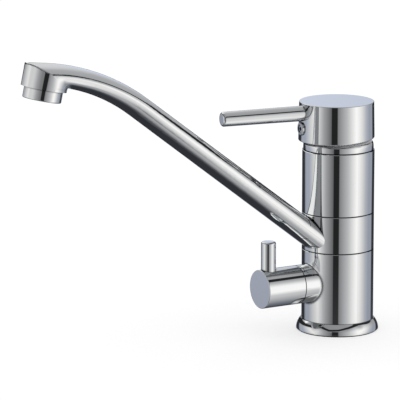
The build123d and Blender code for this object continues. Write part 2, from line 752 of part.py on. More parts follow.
# Lever cap: drafted cup with a slanted rim, a socket for the spindle and a block behind the lever
cap_in_r = CAP_RIM_D / 2 - CAP_WALL
roof_z = cap_top - CAP_ROOF_T
block_z = plug_z - PLUG_D / 2
lever_seat = CAP_OFFSET + CAP_TOP_D / 2 - LEVER_SEAT
plug_seat = CAP_OFFSET + CAP_TOP_D / 2 - PLUG_SEAT
plug_face = CAP_OFFSET + CAP_RIM_D / 2 + PLUG_PROUD
grub_tip = SPINDLE_W / 2 + SEAT_GAP
lever_end = lever_seat + LEVER_L
slant = radians(CAP_SLANT)
rim_plane = Plane(
    lever_dir * (CAP_OFFSET + CAP_RIM_D / 2) + Vector(0, 0, cap_rim),
    x_dir=tilt_dir,
    z_dir=lever_dir * sin(slant) + Vector(0, 0, cos(slant)),
)


def cap_hollow(z, height, boss, block):
    """Cut a stretch of the cap's hollow, round the spindle's boss and the lever's block."""
    with BuildSketch(lever_level(z)) as plan:
        with Locations((CAP_OFFSET, 0)):
            Circle(cap_in_r)
        if boss:
            Circle(boss_r, mode=Mode.SUBTRACT)
        if block:
            with Locations((CAP_RIM_D / 2, 0)):
                Rectangle(CAP_RIM_D, CAP_BLOCK_W, mode=Mode.SUBTRACT)
    extrude(plan.sketch, amount=height, mode=Mode.SUBTRACT)


with BuildPart() as handle_cap:
    with BuildSketch(lever_side):
        with BuildLine():
            Polyline(
                (CAP_OFFSET, cap_rim),
                (CAP_OFFSET + CAP_RIM_D / 2, cap_rim),
                (CAP_OFFSET + CAP_TOP_D / 2, cap_top),
                (CAP_OFFSET, cap_top),
                close=True,
            )
        make_face()
    revolve(axis=Axis(lever_dir * CAP_OFFSET, (0, 0, 1)))
    split(bisect_by=rim_plane, keep=Keep.TOP)
    fillet(handle_cap.edges().group_by(Axis.Z)[-1], CAP_ROUND)
    fillet(handle_cap.faces().sort_by(Axis.Z)[0].edges(), CAP_ROUND)
    cap_hollow(cap_rim, boss_z - cap_rim, boss=False, block=False)
    cap_hollow(boss_z, block_z - boss_z, boss=True, block=False)
    cap_hollow(block_z, roof_z - block_z, boss=True, block=True)
    with BuildSketch(lever_level(boss_z)):
        Rectangle(SPINDLE_W + 2 * SEAT_GAP, SPINDLE_W + 2 * SEAT_GAP)
    extrude(amount=SPINDLE_SOCKET_H, mode=Mode.SUBTRACT)
    rod(lever_face(lever_seat, lever_z), LEVER_ROOT_D / 2 + SEAT_GAP, LEVER_ROOT_D, Mode.SUBTRACT)
    with Locations(lever_face(lever_seat, lever_z)):
        Hole(LEVER_STUB_D / 2 + SEAT_GAP, LEVER_STUB_L + SEAT_GAP)
    rod(lever_face(plug_seat, plug_z), PLUG_D / 2 + SEAT_GAP, PLUG_D, Mode.SUBTRACT)
    with Locations(lever_face(plug_seat, plug_z)):
        Hole(PLUG_STEM_D / 2 + SEAT_GAP, PLUG_STEM_L)
        Hole(GRUB_D / 2 + SEAT_GAP, plug_seat - SPINDLE_W / 2)
handle_cap.part.label = "handle_cap"
export_step(handle_cap.part, "parts/handle_cap.step")

# Lever: slightly tapered round rod with a rounded end, screwed into the cap by a stub
with BuildPart() as lever_rod:
    with BuildSketch(lever_side):
        with BuildLine():
            Polyline(
                (lever_seat - LEVER_STUB_L, lever_z),
                (lever_seat - LEVER_STUB_L, lever_z + LEVER_STUB_D / 2),
                (lever_seat, lever_z + LEVER_STUB_D / 2),
                (lever_seat, lever_z + LEVER_ROOT_D / 2),
                (lever_end, lever_z + LEVER_END_D / 2),
                (lever_end, lever_z),
                close=True,
            )
        make_face()
    revolve(axis=Axis((0, 0, lever_z), lever_dir))
    fillet(lever_rod.faces().sort_by(Axis((0, 0, 0), lever_dir))[-1].edges(), LEVER_ROUND)
lever_rod.part.label = "lever_rod"
export_step(lever_rod.part, "parts/lever_rod.step")

with BuildPart() as screw_plug:
    rod(lever_face(plug_seat, plug_z), PLUG_D / 2, plug_face - plug_seat)
    fillet(screw_plug.faces().sort_by(Axis((0, 0, 0), lever_dir))[-1].edges(), PLUG_ROUND)
    rod(lever_face(plug_seat - PLUG_STEM_L, plug_z), PLUG_STEM_D / 2, PLUG_STEM_L)
    with Locations(lever_face(plug_face, plug_z)):
        Hole(PLUG_DISH_D / 2, PLUG_DISH_H)
    hexagon_socket(lever_face(plug_face - PLUG_DISH_H, plug_z), PLUG_SOCKET, PLUG_SOCKET_H)
screw_plug.part.label = "screw_plug"
export_step(screw_plug.part, "parts/screw_plug.step")

with BuildPart() as handle_grub_screw:
    rod(lever_face(grub_tip, plug_z), GRUB_D / 2, GRUB_L)
    hexagon_socket(lever_face(grub_tip + GRUB_L, plug_z), GRUB_SOCKET, GRUB_SOCKET_H)
handle_grub_screw.part.label = "handle_grub_screw"
export_step(handle_grub_screw.part, "parts/handle_grub_screw.step")

# Appliance valve, from the floor of its bore outwards
valve_fixed_r = VALVE_FLOOR + VALVE_SEAL_T
valve_moving_r = valve_fixed_r + VALVE_DISC_T + DISC_GAP
blade_start = valve_moving_r + VALVE_DISC_T
blade_end = blade_start + VALVE_BLADE_L
valve_chamber_end = blade_end + FLOAT_GAP
valve_disc_r = VALVE_DISC_D / 2
spline_r = VALVE_SPLINE_D / 2
with BuildPart() as valve_seat_seal:
    ring(valve_face(VALVE_FLOOR), valve_disc_r, valve_disc_r - VALVE_SEAL_W, VALVE_SEAL_T)
valve_seat_seal.part.label = "valve_seat_seal"
export_step(valve_seat_seal.part, "parts/valve_seat_seal.step")

with BuildPart() as valve_fixed_disc:
    with BuildSketch(valve_face(valve_fixed_r)):
        Circle(valve_disc_r)
        with PolarLocations(VALVE_PORT_RING_D / 2, 2):
            Circle(VALVE_PORT_D / 2, mode=Mode.SUBTRACT)
    extrude(amount=VALVE_DISC_T)
valve_fixed_disc.part.label = "valve_fixed_disc"
export_step(valve_fixed_disc.part, "parts/valve_fixed_disc.step")

with BuildPart() as valve_moving_disc:
    with BuildSketch(valve_face(valve_moving_r)):
        Circle(valve_disc_r)
        with PolarLocations(VALVE_PORT_RING_D / 2, 2, start_angle=90):
            Circle(VALVE_PORT_D / 2, mode=Mode.SUBTRACT)
    extrude(amount=VALVE_DISC_T)
valve_moving_disc.part.label = "valve_moving_disc"
export_step(valve_moving_disc.part, "parts/valve_moving_disc.step")

# Headwork: relieved round the discs, so that water from its windows runs back to the outlet
with BuildPart() as valve_headwork:
    rod(valve_face(VALVE_FLOOR), valve_bore_r - VALVE_RELIEF, boss_face - VALVE_FLOOR)
    rod(valve_face(valve_chamber_end), valve_bore_r, boss_face - valve_chamber_end)
    with BuildSketch(valve_face(boss_face)):
        RegularPolygon(VALVE_HEX / 2, 6, major_radius=False)
    extrude(amount=VALVE_HEX_T)
    rod(valve_face(boss_face + VALVE_HEX_T), VALVE_NECK_D / 2, VALVE_NECK_L)
    rod(valve_face(VALVE_FLOOR), valve_disc_r + RUN_GAP, valve_chamber_end - VALVE_FLOOR, Mode.SUBTRACT)
    rod(valve_face(VALVE_FLOOR), VALVE_STEM_D / 2 + RUN_GAP, knob_end, Mode.SUBTRACT)
    with Locations((0, -(blade_start + blade_end) / 2, VALVE_Z)):
        Cylinder(VALVE_WINDOW_D / 2, VALVE_BORE_D, mode=Mode.SUBTRACT)
valve_headwork.part.label = "valve_headwork"
export_step(valve_headwork.part, "parts/valve_headwork.step")

# Spindle: a blade that drives the moving disc, a round stem, and the end that the knob is fixed on
with BuildPart() as valve_spindle:
    with BuildSketch(valve_face(blade_start)):
        Circle(valve_disc_r)
        Rectangle(VALVE_DISC_D, VALVE_BLADE_W, mode=Mode.INTERSECT)
    extrude(amount=VALVE_BLADE_L)
    rod(valve_face(blade_end), VALVE_STEM_D / 2, knob_floor - blade_end)
    rod(valve_face(knob_floor), spline_r, VALVE_SPLINE_L - FLOAT_GAP)
valve_spindle.part.label = "valve_spindle"
export_step(valve_spindle.part, "parts/valve_spindle.step")

# Knob with its upright pin and its set screw
pin_seat_z = VALVE_Z + KNOB_D / 2 - VALVE_PIN_SEAT
pin_seat = Plane((0, -(knob_end - VALVE_PIN_INSET), pin_seat_z))
knob_screw_r = knob_floor + VALVE_SPLINE_L / 2
knob_screw_tip = spline_r + SEAT_GAP
screw_plane = Plane((0, -knob_screw_r, VALVE_Z - knob_screw_tip), z_dir=(0, 0, -1))
with BuildPart() as valve_knob:
    rod(valve_face(knob_start), KNOB_D / 2, KNOB_L)
    fillet(valve_knob.edges(), KNOB_ROUND)
    rod(valve_face(knob_start), KNOB_D / 2 - KNOB_WALL, KNOB_L - KNOB_END_T, Mode.SUBTRACT)
    rod(valve_face(knob_floor), spline_r + SEAT_GAP, VALVE_SPLINE_L, Mode.SUBTRACT)
    rod(pin_seat, VALVE_PIN_D / 2 + SEAT_GAP, KNOB_D, Mode.SUBTRACT)
    with Locations(pin_seat):
        Hole(VALVE_STUB_D / 2 + SEAT_GAP, VALVE_STUB_L + SEAT_GAP)
    rod(screw_plane, KNOB_SCREW_D / 2 + SEAT_GAP, KNOB_D / 2, Mode.SUBTRACT)
valve_knob.part.label = "valve_knob"
export_step(valve_knob.part, "parts/valve_knob.step")

with BuildPart() as valve_pin:
    rod(pin_seat, VALVE_PIN_D / 2, VALVE_PIN_SEAT + VALVE_PIN_H)
    fillet(valve_pin.faces().sort_by(Axis.Z)[-1].edges(), VALVE_PIN_ROUND)
    rod(pin_seat.offset(-VALVE_STUB_L), VALVE_STUB_D / 2, VALVE_STUB_L)
valve_pin.part.label = "valve_pin"
export_step(valve_pin.part, "parts/valve_pin.step")

with BuildPart() as valve_knob_screw:
    rod(screw_plane, KNOB_SCREW_D / 2, KNOB_SCREW_L)
    hexagon_socket(screw_plane.offset(KNOB_SCREW_L), KNOB_SCREW_SOCKET, KNOB_SCREW_SOCKET_H)
valve_knob_screw.part.label = "valve_knob_screw"
export_step(valve_knob_screw.part, "parts/valve_knob_screw.step")
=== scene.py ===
import json
import math

import bpy
from bpy.props import FloatProperty, FloatVectorProperty, IntProperty, PointerProperty
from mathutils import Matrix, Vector


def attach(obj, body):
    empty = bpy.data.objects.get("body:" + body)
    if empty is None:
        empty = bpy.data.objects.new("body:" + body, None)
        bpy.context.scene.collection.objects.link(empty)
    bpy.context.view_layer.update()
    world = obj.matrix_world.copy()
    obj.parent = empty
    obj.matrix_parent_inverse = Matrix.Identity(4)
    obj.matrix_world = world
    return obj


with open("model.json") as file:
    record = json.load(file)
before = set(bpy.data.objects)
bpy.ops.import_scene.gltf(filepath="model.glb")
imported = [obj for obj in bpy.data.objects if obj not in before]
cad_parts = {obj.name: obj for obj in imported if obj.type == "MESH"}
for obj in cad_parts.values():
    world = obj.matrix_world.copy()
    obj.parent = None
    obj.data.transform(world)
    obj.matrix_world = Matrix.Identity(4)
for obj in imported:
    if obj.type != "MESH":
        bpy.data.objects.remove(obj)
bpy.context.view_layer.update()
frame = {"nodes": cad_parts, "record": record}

bl_info = {
    "name": "Kitchen mixer tap",
    "version": (1, 0, 0),
    "blender": (4, 5, 0),
    "location": "View3D > Sidebar > Tap",
    "description": "Finishes, screw threads and studio of a chrome single-lever mixer tap",
    "category": "Object",
}

SLOT_OF = {piece["node"]: piece["material_slot"] for piece in frame["record"]["subparts"]}
SLOT_COLOUR = {entry["slot"]: entry["base_color"] for entry in frame["record"]["materials"]}
PORTS = [mount for mount in frame["record"]["mounts"] if mount["kind"] == "threaded_hole"]
MM_PER_M = 1000

# Places on the CAD pieces that the chrome is painted by, in metres. A pair is where a change starts and where
# it ends. The hollow and the edge of the outlet head are in the head's own axes.
OUTLET_REACH = 0.219
OUTLET_HEIGHT = 0.1915
HEAD_TILT = math.radians(12.3)
HEAD_TURN = (HEAD_TILT, 0.0, 0.0)
HEAD_SHIFT = (
    0.0,
    OUTLET_REACH * math.cos(HEAD_TILT) + OUTLET_HEIGHT * math.sin(HEAD_TILT),
    OUTLET_REACH * math.sin(HEAD_TILT) - OUTLET_HEIGHT * math.cos(HEAD_TILT),
)
HOLLOW_BOTTOM = (-0.0088, -0.0065)
HOLLOW_TOP = (0.0, 0.0025)
HOLLOW_FRONT = (-0.004, 0.001)
HOLLOW_BACK = (0.022, 0.03)
HEAD_EDGE_BOTTOM = (0.001, 0.003)
HEAD_EDGE_BACK = (0.013, 0.02)
VALVE_HEIGHT = 0.0336
BOSS_RIM = (0.0165, 0.0185)
BOSS_END = (-0.03, -0.0275)
BOSS_ROOT = (-0.012, -0.008)
DOME_FOOT = 0.1226
# Painted shade on the dome ring: a dark line right at its foot, and the reach of the seam darkening, full
# near the foot and shorter above it
FOOT_SHADE_LINE = (0.0001, 0.0004)
FOOT_SHADE_FADE = (0.0005, 0.0015)
CAP_LINE = (0.1274, 0.1283)
CAP_SHIFT = (0.000224, 0.001483, 0.0)
CAP_BORE = (0.02405, 0.0243)
CAP_CEILING = (0.1525, 0.1535)

# Light of the tent by the angle round from the camera, in degrees: the side panels level with the tap, the
# low panels under them and the top panel. NADIR_LIGHT goes from the camera's side of the lowest part to its
# far side. PANEL_TOP is the height of the dark gap between the side panels and the top panel.
SIDE_LIGHT = [
    (-180, 0.62), (-172, 0.56), (-167, 0.03), (-134, 0.03), (-129, 0.28), (-120, 0.37), (-105, 0.37),
    (-66, 0.78), (-40, 0.34), (-17, 0.12), (-15.5, 0.016), (1, 0.016), (2.5, 0.21), (30, 0.48), (60, 0.95),
    (95, 0.44), (112, 0.32), (130, 0.32), (135, 0.03), (165, 0.03), (170, 0.50), (180, 0.62),
]
LOW_LIGHT = [
    (-180, 0.03), (-130, 0.03), (-118, 0.10), (-106, 0.15), (-50, 0.13), (4, 0.14), (18, 0.40), (34, 0.62),
    (46, 0.82), (60, 0.60), (75, 0.42), (95, 0.30), (114, 0.20), (145, 0.15), (170, 0.06), (180, 0.04),
]
NADIR_LIGHT = [(360 * way, level) for way, level in (
    (-0.4, 0.90), (-0.29, 0.58), (-0.165, 0.40), (-0.07, 0.35), (-0.02, 0.29), (0.04, 0.22), (0.1, 0.10),
    (0.17, 0.04), (0.5, 0.03),
)]
TOP_LIGHT = [
    (-180, 0.58), (-176, 0.605), (-171, 0.615), (-167, 0.56), (-155, 0.45), (-120, 0.40), (-95, 0.24),
    (-40, 0.26), (30, 0.28), (66, 0.34), (115, 0.37), (140, 0.38), (158, 0.40), (169, 0.47), (180, 0.58),
]
PANEL_TOP = [(angle, height / 180 + 0.5) for angle, height in (
    (-180, -1), (-168, -1), (-150, 4), (-126, 12), (-102, 20), (-66, 31), (-54, 38), (-26, 24), (2, 27),
    (26, 37), (52, 43), (78, 47), (90, 42), (102, 35), (110, 30), (121, 26), (131, 23.5), (138, 21),
    (146, 15), (154, 12), (162, 3), (174, -2), (180, -1),
)]
GAP_LIGHT = 0.018
GAP_HALF = 5.0
GAP_SOFT = 3.0

# Where the tent's parts run into each other: pairs of angles round or of rises above the horizon, in degrees,
# and how much light they lose or keep there
LEAN = 0.8
LEAN_START = -12.0
LEAN_LEFT = (-80.0, -55.0)
LEAN_RIGHT = (55.0, 80.0)
LOW_TO_SIDE = (-34.0, -13.0)
NADIR_TO_LOW = (-72.0, -58.0)
NADIR_WAY = (-0.45, -0.2)
SIDE_LOSS = 0.5
SIDE_LOSS_RISE = (6.0, 36.0)
LEFT_LEAST = 0.2
LEFT_LEAST_ANGLE = (-18.0, -16.5)
RIGHT_LEAST = 0.12
RIGHT_LEAST_ANGLE = (90.0, 110.0)
LEAST_RISE = (3.0, 10.0)
HIGH_LEAST = 0.3
HIGH_LEAST_RISE = (14.0, 19.0)
FAR_ANGLE = (168.0, 176.0)
TOP_LOSS = 0.24
TOP_LOSS_ANGLE = (60.0, 120.0)
TOP_LOSS_RISE = (8.0, 22.0)
WINDOW_LEFT = (-156.0, -149.0)
WINDOW_RIGHT = (-121.0, -113.0)
WINDOW_BOTTOM = (18.0, 24.0)
WINDOW_TOP = (68.0, 78.0)
COOL_WAY = (0.9, 1.4)
COOL_LOW_RISE = (-3.0, 6.0)
COOL_FAR_RISE = (15.0, 40.0)
WARM_LEVEL = (0.35, 0.75)

GREY_TINT = (0.985, 1.0, 1.02, 1.0)
WARM_TINT = (1.005, 1.0, 0.975, 1.0)
COOL_TINT = (0.91, 0.98, 1.15, 1.0)
TENT_GAIN = 1.25
TENT_SEGMENTS = 96
TENT_RINGS = 48
FLOOR_GLOW = 0.58
FLOOR_SHADES = ((0.44, 0.44, 0.44, 1.0), (0.46, 0.46, 0.46, 1.0))
WHITE = (1.0, 1.0, 1.0, 1.0)
CAMERA_REACH = 100.0


class Field:
    """A shader value. Sums and products of fields add Math nodes to their paint."""

    def __init__(self, paint, socket):
        self.paint = paint
        self.socket = socket

    def __add__(self, other):
        return self.paint.math("ADD", self, other)

    def __radd__(self, other):
        return self.paint.math("ADD", other, self)

    def __sub__(self, other):
        return self.paint.math("SUBTRACT", self, other)

    def __rsub__(self, other):
        return self.paint.math("SUBTRACT", other, self)

    def __mul__(self, other):
        return self.paint.math("MULTIPLY", self, other)

    def __rmul__(self, other):
        return self.paint.math("MULTIPLY", other, self)

    def __truediv__(self, other):
        return self.paint.math("DIVIDE", self, other)

    def __rtruediv__(self, other):
        return self.paint.math("DIVIDE", other, self)

    def __pow__(self, other):
        return self.paint.math("POWER", self, other)

    def __rpow__(self, other):
        return self.paint.math("POWER", other, self)


class Made:
    """A node in a paint, whose outputs are read as fields."""

    def __init__(self, paint, node):
        self.paint = paint
        self.node = node

    def __getitem__(self, key):
        return Field(self.paint, self.node.outputs[key])


class Paint:
    """A material, or the world, whose nodes are written as expressions."""

    def __init__(self, owner):
        owner.use_nodes = True
        self.owner = owner
        self.tree = owner.node_tree
        self.tree.nodes.clear()

    def node(self, kind, settings=None, values=None):
        """Add a node: its settings first, then the numbers or links of its sockets."""
        node = self.tree.nodes.new(kind)
        for name, setting in (settings or {}).items():
            if name == "stops":
                self.set_stops(node.color_ramp, setting)
            else:
                setattr(node, name, setting)
        for key, value in (values or {}).items():
            if isinstance(value, Field):
                self.tree.links.new(value.socket, node.inputs[key])
            else:
                node.inputs[key].default_value = value
        return Made(self, node)

    @staticmethod
    def set_stops(ramp, stops):
        """Give a ramp its grey levels by their places."""
        while len(ramp.elements) < len(stops):
            ramp.elements.new(0.5)
        for element, (place, level) in zip(ramp.elements, stops):
            element.position = place
            element.color = (level, level, level, 1.0)

    def math(self, operation, first, second=0.0):
        return self.node("ShaderNodeMath", {"operation": operation}, {0: first, 1: second})["Value"]

    def place(self):
        return self.node("ShaderNodeTexCoord")["Object"]

    def axes(self, place):
        """The X, Y and Z of a place."""
        return self.node("ShaderNodeSeparateXYZ", None, {0: place})

    def moved(self, place, shift=(0, 0, 0), turn=(0, 0, 0), stretch=(1, 1, 1)):
        values = {"Vector": place, "Location": shift, "Rotation": turn, "Scale": stretch}
        return self.node("ShaderNodeMapping", None, values)["Vector"]

    def noise(self, place, scale, detail, roughness=0.5, distortion=0.0):
        values = {
            "Vector": place,
            "Scale": scale,
            "Detail": detail,
            "Roughness": roughness,
            "Distortion": distortion,
        }
        return self.node("ShaderNodeTexNoise", None, values)["Fac"]

    def eased(self, value, start, end):
        """0 before start, 1 after end, smooth between."""
        settings = {"interpolation_type": "SMOOTHSTEP"}
        values = {"Value": value, "From Min": start, "From Max": end}
        return self.node("ShaderNodeMapRange", settings, values)["Result"]

    def within(self, value, rising, falling):
        """1 between two places, smooth at both."""
        return self.eased(value, *rising) * (1 - self.eased(value, *falling))

    def spread(self, share, low, high):
        """Value that goes from low to high as the share goes from 0 to 1."""
        return low + (high - low) * share

    def between(self, share, first, second):
        """Colour that goes from the first to the second as the share goes from 0 to 1."""
        values = {0: share, 6: first, 7: second}
        mix = self.node("ShaderNodeMix", {"data_type": "RGBA"}, values)
        return Field(self, mix.node.outputs[2])

    def scaled(self, colour, level):
        """A colour times a level."""
        values = {0: colour, "Scale": level}
        return self.node("ShaderNodeVectorMath", {"operation": "SCALE"}, values)["Vector"]

    def bump(self, height, depth, strength=1.0, normal=None):
        values = {"Height": height, "Distance": depth, "Strength": strength}
        if normal:
            values["Normal"] = normal
        return self.node("ShaderNodeBump", None, values)["Normal"]

    def surface(self, values):
        shader = self.node("ShaderNodeBsdfPrincipled", None, values)["BSDF"]
        self.node("ShaderNodeOutputMaterial", None, {"Surface": shader})


def shade(colour, factor):
    """A colour made lighter or darker, with full alpha."""
    return (*[min(1.0, channel * factor) for channel in colour[:3]], 1.0)


def new_paint(name):
    return Paint(bpy.data.materials.new(name))


def dress(slot, paint, names=None):
    """Give a finish to the CAD pieces of a material slot, or to some of them."""
    for name, piece in frame["nodes"].items():
        if SLOT_OF[name] == slot and (names is None or name in names):
            piece.material_slots[0].material = paint.owner


def deselect():
    if bpy.context.mode != "OBJECT":
        bpy.ops.object.mode_set(mode="OBJECT")
    bpy.ops.object.select_all(action="DESELECT")


class TapFinishes(bpy.types.PropertyGroup):
    """Colours and gloss of the tap's materials."""

    chrome: FloatVectorProperty(
        name="Chrome",
        description="Colour of the bright chrome plating",
        default=SLOT_COLOUR["chrome"],
        subtype="COLOR",
        min=0.0,
        max=1.0,
    )
    chrome_roughness: FloatProperty(
        name="Chrome roughness",
        description="Roughness of the polished chrome",
        default=0.015,
        subtype="FACTOR",
        min=0.0,
        max=1.0,
    )
    # Painted shade: how far out of the seams and corners the chrome's colour is darkened, found by ambient
    # occlusion
    seam_shade_reach: FloatProperty(
        name="Seam reach",
        description="How far out of the seams and corners the dark of old polish and grime reaches",
        default=0.0018,
        unit="LENGTH",
        min=0.0,
    )
    head_blend: FloatProperty(
        name="Head blend",
        description="Radius of the polished hollow between the outlet head and the arm",
        default=0.0045,
        unit="LENGTH",
        min=0.0,
    )
    head_edge: FloatProperty(
        name="Head edge",
        description="Radius of the polished edge between the outlet head's wall and its top",
        default=0.002,
        unit="LENGTH",
        min=0.0,
    )
    boss_blend: FloatProperty(
        name="Boss blend",
        description="Radius of the polished hollow between the valve's boss and the column",
        default=0.003,
        unit="LENGTH",
        min=0.0,
    )
    casting: FloatVectorProperty(
        name="Casting",
        description="Colour of the bare casting inside the lever cap",
        default=(0.72, 0.72, 0.73, 1.0),
        subtype="COLOR",
        size=4,
        min=0.0,
        max=1.0,
    )
    brass: FloatVectorProperty(
        name="Brass",
        description="Colour of the bare turned brass",
        default=SLOT_COLOUR["brass"],
        subtype="COLOR",
        min=0.0,
        max=1.0,
    )
    steel: FloatVectorProperty(
        name="Steel",
        description="Colour of the stainless screws and pin",
        default=SLOT_COLOUR["steel"],
        subtype="COLOR",
        min=0.0,
        max=1.0,
    )
    rubber: FloatVectorProperty(
        name="Rubber",
        description="Colour of the seals",
        default=SLOT_COLOUR["rubber"],
        subtype="COLOR",
        min=0.0,
        max=1.0,
    )
    jet_plastic: FloatVectorProperty(
        name="Jet plastic",
        description="Colour of the jet former in the outlet",
        default=SLOT_COLOUR["jet_plastic"],
        subtype="COLOR",
        min=0.0,
        max=1.0,
    )
    bearing_plastic: FloatVectorProperty(
        name="Bearing plastic",
        description="Colour of the slip rings above and below the spout's collar",
        default=SLOT_COLOUR["bearing_plastic"],
        subtype="COLOR",
        min=0.0,
        max=1.0,
    )
    cartridge_plastic: FloatVectorProperty(
        name="Cartridge plastic",
        description="Colour of the cartridge's moulded pieces",
        default=SLOT_COLOUR["cartridge_plastic"],
        subtype="COLOR",
        min=0.0,
        max=1.0,
    )
    ceramic: FloatVectorProperty(
        name="Ceramic",
        description="Colour of the lapped ceramic discs",
        default=SLOT_COLOUR["ceramic"],
        subtype="COLOR",
        min=0.0,
        max=1.0,
    )


class TapThreads(bpy.types.PropertyGroup):
    """Sizes of the screw threads in the ports under the tap."""

    pitch: FloatProperty(
        name="Pitch",
        description="Rise of one turn of thread",
        default=0.001,
        unit="LENGTH",
        min=0.0005,
    )
    height: FloatProperty(
        name="Height",
        description="How far the crest stands in from the bore",
        default=0.00035,
        unit="LENGTH",
        min=0.0001,
    )
    sink: FloatProperty(
        name="Sink",
        description="How far the root is sunk in the bore's wall",
        default=0.00005,
        unit="LENGTH",
        min=0.0,
    )
    steps: IntProperty(
        name="Steps",
        description="Faces round one turn of thread",
        default=40,
        min=12,
    )


class TapStudio(bpy.types.PropertyGroup):
    """Camera, floor and light tent."""

    azimuth: FloatProperty(
        name="Azimuth",
        description="Angle of the camera round the tap from the spout's side",
        default=math.radians(59.34),
        subtype="ANGLE",
    )
    elevation: FloatProperty(
        name="Elevation",
        description="Angle of the camera above the horizon",
        default=math.radians(11.87),
        subtype="ANGLE",
    )
    distance: FloatProperty(
        name="Distance",
        description="Distance of the camera from the middle of the view",
        default=2.511,
        unit="LENGTH",
    )
    lens: FloatProperty(
        name="Lens",
        description="Focal length of the camera in millimetres",
        default=340.3,
        unit="CAMERA",
    )
    aside: FloatProperty(
        name="Aside",
        description="How far the middle of the view lies to the left of the column",
        default=0.09164,
        unit="LENGTH",
    )
    height: FloatProperty(
        name="Height",
        description="Height of the middle of the view",
        default=0.08736,
        unit="LENGTH",
    )
    floor_size: FloatProperty(
        name="Floor",
        description="Length of the floor's sides",
        default=12.0,
        unit="LENGTH",
    )
    tent_radius: FloatProperty(
        name="Tent",
        description="Radius of the light tent",
        default=1.0,
        unit="LENGTH",
    )


